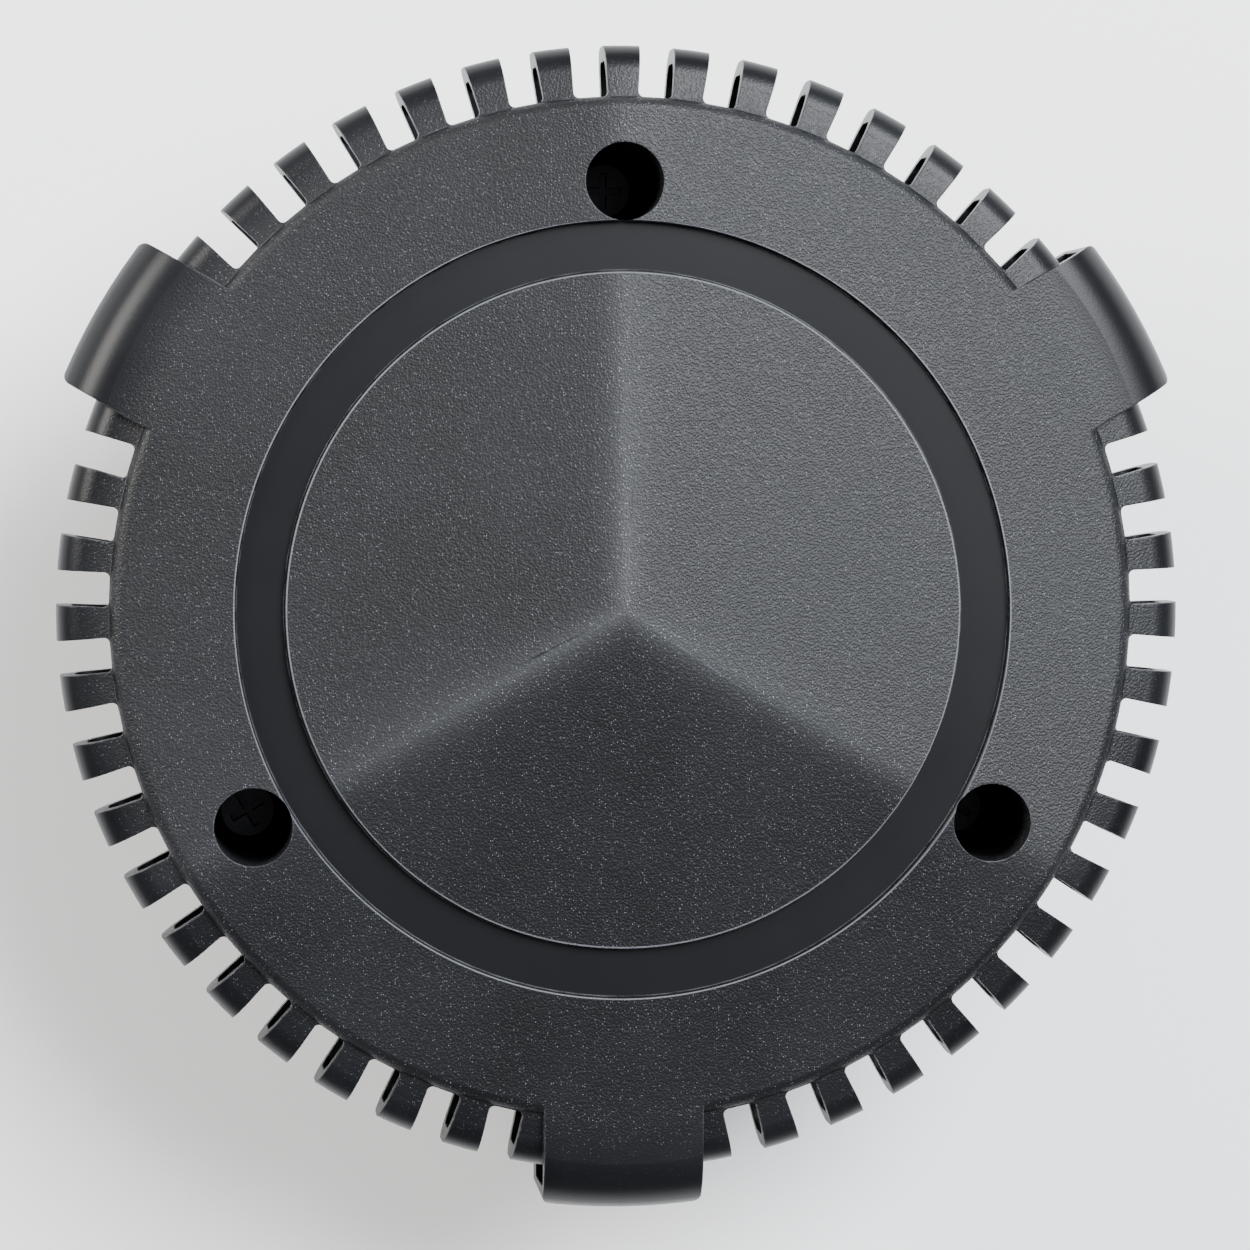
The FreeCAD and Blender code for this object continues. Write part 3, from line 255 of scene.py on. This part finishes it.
def cover_plastic():
    """The cover's plastic: grain with painted glints on the facets, painted highlights on the ridges, a
    polished band with painted highlight lines on its lips, a satin rim.
    """
    material, tree, shader = blank_material("cover_plastic")
    dark, light = (0.0024, 0.0026, 0.0033), (0.0050, 0.0055, 0.0068)
    edge_grey, polished = (0.12, 0.127, 0.14), (0.0026, 0.0028, 0.0036)
    # the crest colour is a painted highlight, and the speck colour is painted glints in the grain
    crest_highlight_colour, glint_colour = (0.041, 0.042, 0.045), (0.36, 0.38, 0.43)
    grain = placed(tree, grain_tree, Grain_Size=0.00021, Pit_Depth=0.9)
    wear = placed(tree, wear_tree, Radius=0.00022)
    ridge = placed(tree, ridge_tree, Width=0.0014, Spread=0.05, Reach=0.036)
    band = placed(tree, ring_tree, Inner=0.0357, Outer=0.0415, Bottom=0.0560, Top=0.0579, Soft=0.00008)
    rim = placed(tree, ring_tree, Inner=0.0545, Outer=0.0700, Bottom=0.0400, Top=0.0700, Soft=0.0045)
    rim_share = math_node(tree, "MULTIPLY", rim.outputs["Mask"], 0.92)
    smooth = math_node(tree, "MAXIMUM", band.outputs["Mask"], rim_share)
    rough_part = math_node(tree, "SUBTRACT", 1.0, smooth)
    # painted highlight: the ridge crests between the facets are lightened in the colour
    crest_highlight = math_node(tree, "MULTIPLY", ridge.outputs["Ridge"], rough_part)

    # colour: clouded black, a painted highlight on the crests, bright specks as painted glints (painted
    # denser near the crests), a blacker band, a painted highlight line on the band's lips, and rubbed edges
    tone = ramp(tree, grain.outputs["Tone"], 0.30, 0.72)
    colour = mix_colour(tree, tone, dark, light)
    colour = mix_colour(tree, math_node(tree, "MULTIPLY", crest_highlight, 0.62), colour, crest_highlight_colour)
    # painted glints: bright specks in the grain, painted denser on the crests as painted highlight
    glint_share = math_node(tree, "MULTIPLY_ADD", crest_highlight, 0.55, 0.42)
    glint_share = math_node(tree, "MULTIPLY", rough_part, glint_share)
    glint_speck = math_node(tree, "MULTIPLY", grain.outputs["Speck"], glint_share)
    colour = mix_colour(tree, glint_speck, colour, glint_colour)
    band_share = math_node(tree, "MULTIPLY", band.outputs["Mask"], 0.85)
    colour = mix_colour(tree, band_share, colour, polished)
    # painted highlight: a thin pale line on each lip of the sunk band
    for inner, outer in ((0.03568, 0.03590), (0.04121, 0.04140)):
        lip = placed(tree, ring_tree, Inner=inner, Outer=outer, Bottom=0.0580, Top=0.0600, Soft=0.00005)
        lip_highlight_share = math_node(tree, "MULTIPLY", lip.outputs["Mask"], 0.7)
        colour = mix_colour(tree, lip_highlight_share, colour, edge_grey)
    colour = mix_colour(tree, math_node(tree, "MULTIPLY", wear.outputs["Wear"], 0.5), colour, edge_grey)
    tree.links.new(colour, shader.inputs["Base Color"])

    # gloss: the smooth parts are glossier, and the grain scatters a little more light
    rough = math_node(tree, "MULTIPLY_ADD", rough_part, 0.13, 0.30)
    rough = math_node(tree, "MULTIPLY_ADD", grain.outputs["Tone"], 0.08, rough)
    tree.links.new(rough, shader.inputs["Roughness"])
    sheen = math_node(tree, "MULTIPLY_ADD", rough_part, 0.09, 0.15)
    tree.links.new(sheen, shader.inputs["Specular IOR Level"])

    # relief: sharper facets below the grain, and neither of them on the smooth parts
    facets = add(tree, "Bump", Strength=1.0, Distance=0.10)
    tree.links.new(ridge.outputs["Facet"], facets.inputs["Height"])
    tree.links.new(wear.outputs["Normal"], facets.inputs["Normal"])
    normal = mix_colour(tree, rough_part, wear.outputs["Normal"], facets.outputs["Normal"], "VECTOR")
    grain_share = math_node(tree, "MULTIPLY_ADD", rough_part, 0.97, 0.03)
    height = math_node(tree, "MULTIPLY", grain.outputs["Height"], grain_share)
    bumped(tree, shader, height, 0.48, 0.000055, normal)
    return material


def dress(node_names, material):
    """Puts one material on every slot of the named CAD pieces."""
    for name in node_names:
        piece = nodes[name]
        if not piece.material_slots:
            piece.data.materials.append(material)
        for slot in piece.material_slots:
            slot.material = material


dress(["rear_cover"], cover_plastic())

# ---------------------------------------------------------------- front housing, diffuser and guard
# Three black ABS mouldings with a satin finish. The bowl carries the duct, the diffuser's vanes hold
# the motor hub in the duct, and the guard twists onto the duct's end in three bayonet tracks.


def satin_plastic(name, dark, light, roughness):
    """A satin moulding: faint clouding and grain, with rubbed edges."""
    material, tree, shader = blank_material(name)
    grain = placed(tree, grain_tree, Grain_Size=0.0003, Pit_Depth=0.4)
    wear = placed(tree, wear_tree, Radius=0.00025)
    tone = ramp(tree, grain.outputs["Tone"], 0.3, 0.75)
    colour = mix_colour(tree, tone, dark, light)
    edge_grey, worn_share = (0.13, 0.135, 0.15), math_node(tree, "MULTIPLY", wear.outputs["Wear"], 0.4)
    tree.links.new(mix_colour(tree, worn_share, colour, edge_grey), shader.inputs["Base Color"])
    tree.links.new(math_node(tree, "MULTIPLY_ADD", grain.outputs["Tone"], 0.16, roughness),
                   shader.inputs["Roughness"])
    shader.inputs["Specular IOR Level"].default_value = 0.40
    bumped(tree, shader, grain.outputs["Height"], 0.22, 0.00005, wear.outputs["Normal"])
    return material


housing_plastic = satin_plastic("housing_plastic", (0.006, 0.0066, 0.008), (0.012, 0.013, 0.015), 0.32)
diffuser_plastic = satin_plastic("diffuser_plastic", (0.009, 0.0095, 0.011), (0.018, 0.019, 0.021), 0.34)
guard_plastic = satin_plastic("guard_plastic", (0.006, 0.0065, 0.0075), (0.012, 0.013, 0.0145), 0.28)
dress(["front_housing"], housing_plastic)
dress(["diffuser"], diffuser_plastic)
dress(["outlet_guard"], guard_plastic)

# ---------------------------------------------------------------- propeller and rotor
# The propeller is a satin moulding pressed on the rotor's sleeve and held by a cap nut. The sleeve
# carries a ground ferrite magnet and two ceramic bushes that run on the fixed shaft.

propeller_plastic = satin_plastic("propeller_plastic", (0.030, 0.040, 0.065), (0.050, 0.064, 0.098), 0.30)
rotor_plastic = satin_plastic("rotor_plastic", (0.05, 0.05, 0.055), (0.09, 0.09, 0.095), 0.33)
dress(["propeller"], propeller_plastic)
dress(["rotor_core", "propeller_nut"], rotor_plastic)


def ceramic(name, colour, roughness, grain_size):
    """Fired and ground ceramic: faint clouding, fine turning marks, hardly any relief."""
    material, tree, shader = blank_material(name)
    grain = placed(tree, grain_tree, Grain_Size=grain_size, Pit_Depth=0.2)
    wear = placed(tree, wear_tree, Radius=0.00015)
    darker = tuple(part * 0.78 for part in colour)
    tree.links.new(mix_colour(tree, grain.outputs["Tone"], darker, colour), shader.inputs["Base Color"])
    tree.links.new(math_node(tree, "MULTIPLY_ADD", grain.outputs["Tone"], 0.12, roughness),
                   shader.inputs["Roughness"])
    bumped(tree, shader, grain.outputs["Height"], 0.15, 0.00004, wear.outputs["Normal"])
    return material


dress(["rotor_magnet"], ceramic("magnet_ferrite", (0.085, 0.085, 0.09), 0.42, 0.0003))
dress(["front_bush", "rear_bush"], ceramic("bush_ceramic", (0.30, 0.30, 0.31), 0.22, 0.0002))
dress(["shaft"], ceramic("shaft_ceramic", (0.86, 0.85, 0.81), 0.12, 0.0002))
dress(["front_washer", "rear_washer"], ceramic("washer_plastic", (0.80, 0.79, 0.74), 0.30, 0.0003))

# ---------------------------------------------------------------- motor
# The stator sits dry in the hub: a pressed core, six nylon bobbins wound with enamelled copper, and
# a sensor board above them. The wet well's flange closes the hub over an O-ring.


def metal(name, colour, roughness, stretch):
    """Turned or pressed metal: fine lines along one direction and a slow change of gloss."""
    material, tree, shader = blank_material(name)
    place = add(tree, "TexCoord").outputs["Object"]
    lines = add(tree, "Mapping")
    lines.inputs["Scale"].default_value = stretch
    tree.links.new(place, lines.inputs["Vector"])
    noise = add(tree, "TexNoise", Scale=1.0, Detail=3.0)
    tree.links.new(lines.outputs["Vector"], noise.inputs["Vector"])
    wear = placed(tree, wear_tree, Radius=0.0001)
    darker = tuple(part * 0.72 for part in colour)
    tree.links.new(mix_colour(tree, noise.outputs["Fac"], darker, colour), shader.inputs["Base Color"])
    shader.inputs["Metallic"].default_value = 1.0
    tree.links.new(math_node(tree, "MULTIPLY_ADD", noise.outputs["Fac"], 0.2, roughness),
                   shader.inputs["Roughness"])
    bumped(tree, shader, noise.outputs["Fac"], 0.2, 0.00003, wear.outputs["Normal"])
    return material


well_plastic = satin_plastic("well_plastic", (0.012, 0.0125, 0.014), (0.022, 0.023, 0.025), 0.36)
board_laminate = satin_plastic("board_laminate", (0.010, 0.10, 0.045), (0.016, 0.15, 0.07), 0.20)
chip_plastic = satin_plastic("chip_plastic", (0.012, 0.012, 0.013), (0.024, 0.024, 0.025), 0.42)
dress(["rotor_well"], well_plastic)
dress(["stator_core"], metal("core_steel", (0.42, 0.43, 0.45), 0.34, (40.0, 40.0, 4500.0)))
dress(["coil_bobbins"], ceramic("bobbin_plastic", (0.78, 0.76, 0.69), 0.36, 0.0005))
dress(["stator_coils"], metal("coil_copper", (0.72, 0.30, 0.13), 0.26, (30.0, 30.0, 3400.0)))
dress(["sensor_board"], board_laminate)
dress(["hall_sensors"], chip_plastic)

# ---------------------------------------------------------------- screws
# Black-oxide steel screws with a cross drive: three hold the cover to the housing from the bottom of
# its wells, and three countersunk ones hold the wet well's flange to the hub.

dress(["case_screws", "well_screws"], metal("screw_steel", (0.06, 0.06, 0.065), 0.36, (600.0, 600.0, 60.0)))

# ---------------------------------------------------------------- cable gland and rubber pieces
# The gland's body and nut are satin nylon mouldings, screwed together over a grommet. The O-ring, the
# shaft's two cups and the gland's washer and grommet are moulded nitrile rubber, pressed in by hand.


def rubber(name):
    """Dull rubber with a faint grain."""
    material, tree, shader = blank_material(name)
    grain = placed(tree, grain_tree, Grain_Size=0.0005, Pit_Depth=0.4)
    wear = placed(tree, wear_tree, Radius=0.0002)
    colour = mix_colour(tree, grain.outputs["Tone"], (0.012, 0.012, 0.012), (0.030, 0.029, 0.028))
    tree.links.new(colour, shader.inputs["Base Color"])
    tree.links.new(math_node(tree, "MULTIPLY_ADD", grain.outputs["Tone"], 0.2, 0.62),
                   shader.inputs["Roughness"])
    bumped(tree, shader, grain.outputs["Height"], 0.2, 0.00008, wear.outputs["Normal"])
    return material


gland_plastic = satin_plastic("gland_plastic", (0.007, 0.007, 0.008), (0.014, 0.014, 0.016), 0.38)
dress(["gland_body", "gland_nut"], gland_plastic)
seal_rubber = rubber("seal_rubber")
dress(["well_seal", "front_shaft_cup", "rear_shaft_cup", "gland_washer", "gland_grommet"], seal_rubber)

# ---------------------------------------------------------------- stand, light and camera
# A plain pale bench, a broad soft window light from the upper right, and a long lens that looks
# almost straight down on the cover.

centre = Vector((0.0, 0.0, cover_top))


def pale_floor():
    """Matt white board with a barely visible clouding."""
    material, tree, shader = blank_material("pale_floor")
    noise = add(tree, "TexNoise", Scale=3.0, Detail=2.0)
    colour = mix_colour(tree, noise.outputs["Fac"], (0.86, 0.86, 0.86), (0.90, 0.90, 0.90))
    tree.links.new(colour, shader.inputs["Base Color"])
    shader.inputs["Roughness"].default_value = 0.9
    return material


def floor_sheet(half_side, height):
    """The bench's level top."""
    mesh = bpy.data.meshes.new("bench_top")
    corners = [(-half_side, -half_side, height), (half_side, -half_side, height),
               (half_side, half_side, height), (-half_side, half_side, height)]
    mesh.from_pydata(corners, [], [(0, 1, 2, 3)])
    sheet = bpy.data.objects.new("bench_top", mesh)
    bpy.context.scene.collection.objects.link(sheet)
    mesh.materials.append(pale_floor())


hairline = 0.0002
floor_sheet(3.0, cad_box[0][2] - hairline)

world = bpy.data.worlds.new("studio_air")
bpy.context.scene.world = world
world.use_nodes = True
air = world.node_tree.nodes["Background"]
air.inputs["Color"].default_value = (0.92, 0.95, 1.0, 1.0)
air.inputs["Strength"].default_value = 0.40


def area_light(name, place, target, width, height, watts, tint):
    """A soft rectangular light at a place, aimed at the target."""
    data = bpy.data.lights.new(name, "AREA")
    data.shape = "RECTANGLE"
    data.size, data.size_y = width, height
    data.energy = watts
    data.color = tint
    lamp = bpy.data.objects.new(name, data)
    lamp.location = place
    lamp.rotation_euler = (target - Vector(place)).to_track_quat("-Z", "Y").to_euler()
    bpy.context.scene.collection.objects.link(lamp)


area_light("window_light", (0.46, 0.50, 1.05), centre, 0.55, 0.75, 52.0, (0.93, 0.96, 1.0))
area_light("fill_light", (-0.95, 0.50, 0.66), centre, 0.5, 0.5, 26.0, (1.0, 0.97, 0.93))

camera_data = bpy.data.cameras.new("camera")
camera = bpy.data.objects.new("camera", camera_data)
bpy.context.scene.collection.objects.link(camera)
bpy.context.scene.camera = camera
camera_data.sensor_width = 36.0
camera_data.lens = 161.2
look = Vector((0.0901, -0.0370, -0.9952)).normalized()
aim_point = centre + Vector((0.0, -0.0015, -0.001))
distance = 0.5925
camera.location = aim_point - look * distance
across = look.cross(Vector((0.0, 1.0, 0.0))).normalized()
camera.rotation_euler = Matrix((across, across.cross(look), -look)).transposed().to_euler()
camera_data.clip_start = 0.01
